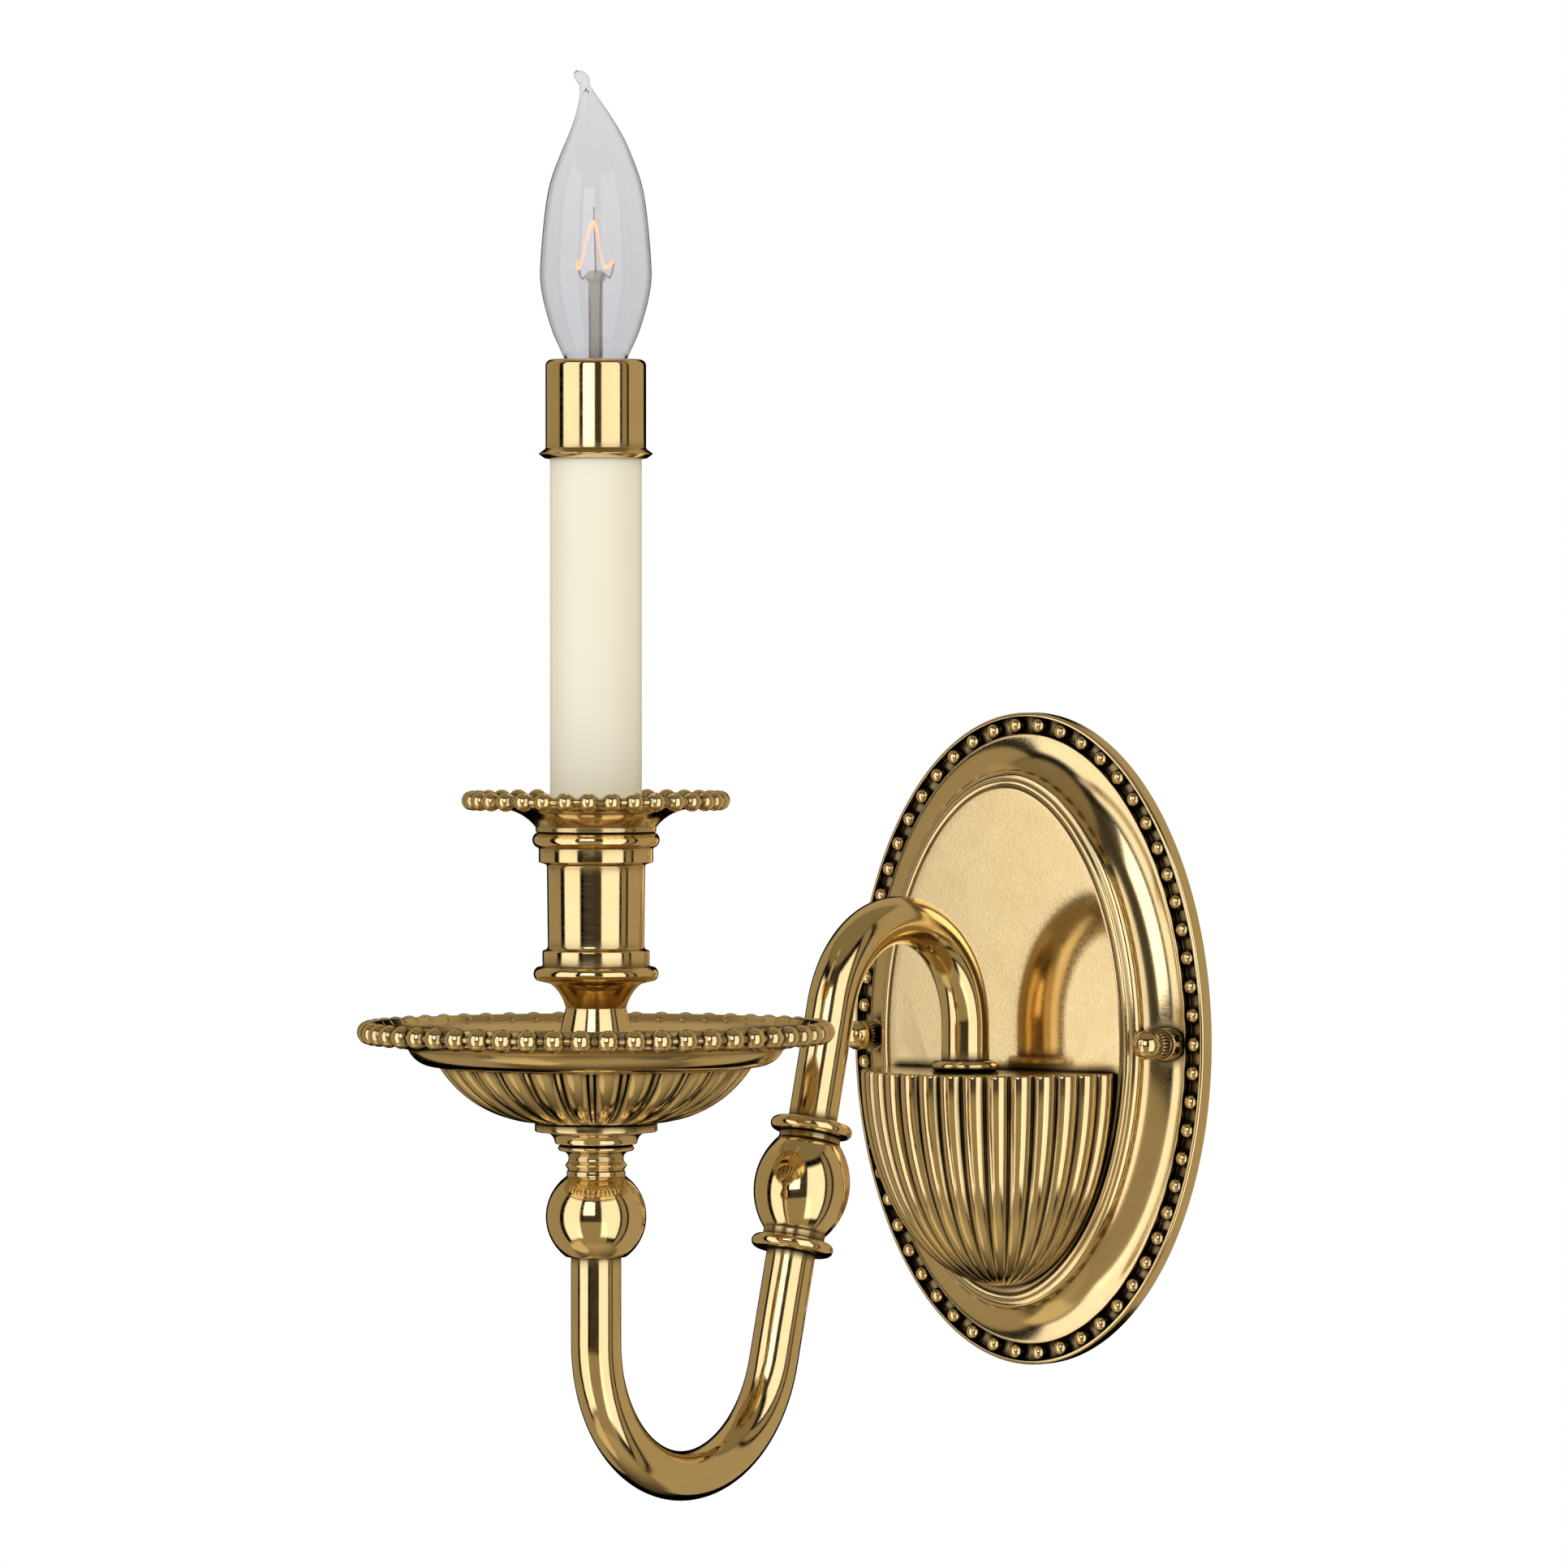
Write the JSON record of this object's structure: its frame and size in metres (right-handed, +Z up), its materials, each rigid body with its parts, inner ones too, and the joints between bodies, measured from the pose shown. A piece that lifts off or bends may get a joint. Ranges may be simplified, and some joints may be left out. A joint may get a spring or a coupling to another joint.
{
  "type": "wall sconce",
  "caption": "Wall sconce in antique brass: oval beaded backplate, fluted half bowl, swan-neck arm, beaded pans, and a candle-style sleeve with a flame lamp.",
  "frame": {"origin": "centre of the backplate on the wall plane, which is also the centre of the strap's two box screws", "axes": "+Y into the wall, -Y out into the room, +Z up, +X to the right for someone facing the wall; the arm lies in the plane X = 0"},
  "size_m": [0.1234, 0.2475, 0.3719],
  "materials": {
    "antique_brass": "burnished antique brass, lacquered",
    "ivory_sleeve": "gloss ivory",
    "lamp_glass": "clear",
    "base_brass": "bright rolled",
    "contact_brass": "plain",
    "black_glass": "black vitrified",
    "solder": "dull",
    "wire_metal": "drawn",
    "filament_metal": "coiled",
    "zinc_steel": "zinc plated",
    "green_screw": "green",
    "holder_phenolic": "moulded phenolic",
    "lead_white": "extruded insulation",
    "lead_black": "extruded insulation",
    "connector_plastic": "moulded"
  },
  "bodies": {
    "fixture": {"mounting_strap": "zinc_steel", "canopy_studs": "zinc_steel", "ground_screw": "green_screw", "backplate": "antique_brass", "wall_bowl": "antique_brass", "bowl_screws": "zinc_steel", "arm_collar": "antique_brass", "arm_upper": "antique_brass", "arm_lower": "antique_brass", "arm_pipe": "zinc_steel", "arm_lock_washer": "zinc_steel", "arm_lock_nut": "zinc_steel", "knop_barrel": "antique_brass", "knop_rings": "antique_brass", "knop_coupler": "zinc_steel", "arm_ball": "antique_brass", "neck": "antique_brass", "pan_seat": "antique_brass", "drip_pan": "antique_brass", "candle_cup": "antique_brass", "bobeche": "antique_brass", "column_pipe": "zinc_steel", "column_lock_nut": "zinc_steel", "holder_bracket": "zinc_steel", "bracket_nut": "zinc_steel", "lamp_holder": "holder_phenolic", "holder_shell": "contact_brass", "holder_contact": "contact_brass", "holder_terminals": "contact_brass", "lead_neutral": "lead_white", "lead_live": "lead_black", "wire_connectors": "connector_plastic"},
    "nut_travel_left": {"nut_washer_left": "antique_brass"},
    "nut_left": {"ball_nut_left": "antique_brass"},
    "nut_travel_right": {"nut_washer_right": "antique_brass"},
    "nut_right": {"ball_nut_right": "antique_brass"},
    "candle_cover": {"candle_sleeve": "ivory_sleeve", "sleeve_cap": "antique_brass"},
    "lamp_travel": {"lamp_contact": "solder"},
    "lamp": {"lamp_glass": "lamp_glass", "lamp_shell": "base_brass", "lamp_insulator": "black_glass", "lamp_stem": "lamp_glass", "lamp_supports": "wire_metal", "lamp_filament": "filament_metal"}
  },
  "joints": [
    {"name": "nut_left_travel", "type": "slide", "parent": "fixture", "child": "nut_travel_left", "axis": [0, -1, 0], "range_m": [0, 0.00556]},
    {"name": "nut_left_turn", "type": "hinge", "parent": "nut_travel_left", "child": "nut_left", "pos_m": [-0.05, -0.0155, 0], "axis": [0, -1, 0], "range_deg": [0, 2520]},
    {"name": "nut_right_travel", "type": "slide", "parent": "fixture", "child": "nut_travel_right", "axis": [0, -1, 0], "range_m": [0, 0.00556]},
    {"name": "nut_right_turn", "type": "hinge", "parent": "nut_travel_right", "child": "nut_right", "pos_m": [0.05, -0.0155, 0], "axis": [0, -1, 0], "range_deg": [0, 2520]},
    {"name": "lamp_travel", "type": "slide", "parent": "fixture", "child": "lamp_travel", "axis": [0, 0, 1], "range_m": [0, 0.0102]},
    {"name": "lamp_turn", "type": "hinge", "parent": "lamp_travel", "child": "lamp", "pos_m": [0, -0.18585, 0.165], "axis": [0, 0, 1], "range_deg": [0, 1440]},
    {"name": "cover_turn", "type": "hinge", "parent": "fixture", "child": "candle_cover", "pos_m": [0, -0.18585, 0.1], "axis": [0, 0, 1], "continuous": true}
  ],
  "couplings": [
    {"joint": "nut_left_turn", "follows": "nut_left_travel", "rad_per_m": 7913.3},
    {"joint": "nut_right_turn", "follows": "nut_right_travel", "rad_per_m": 7913.3},
    {"joint": "lamp_travel", "follows": "lamp_turn", "m_per_rad": 0.00040425}
  ]
}
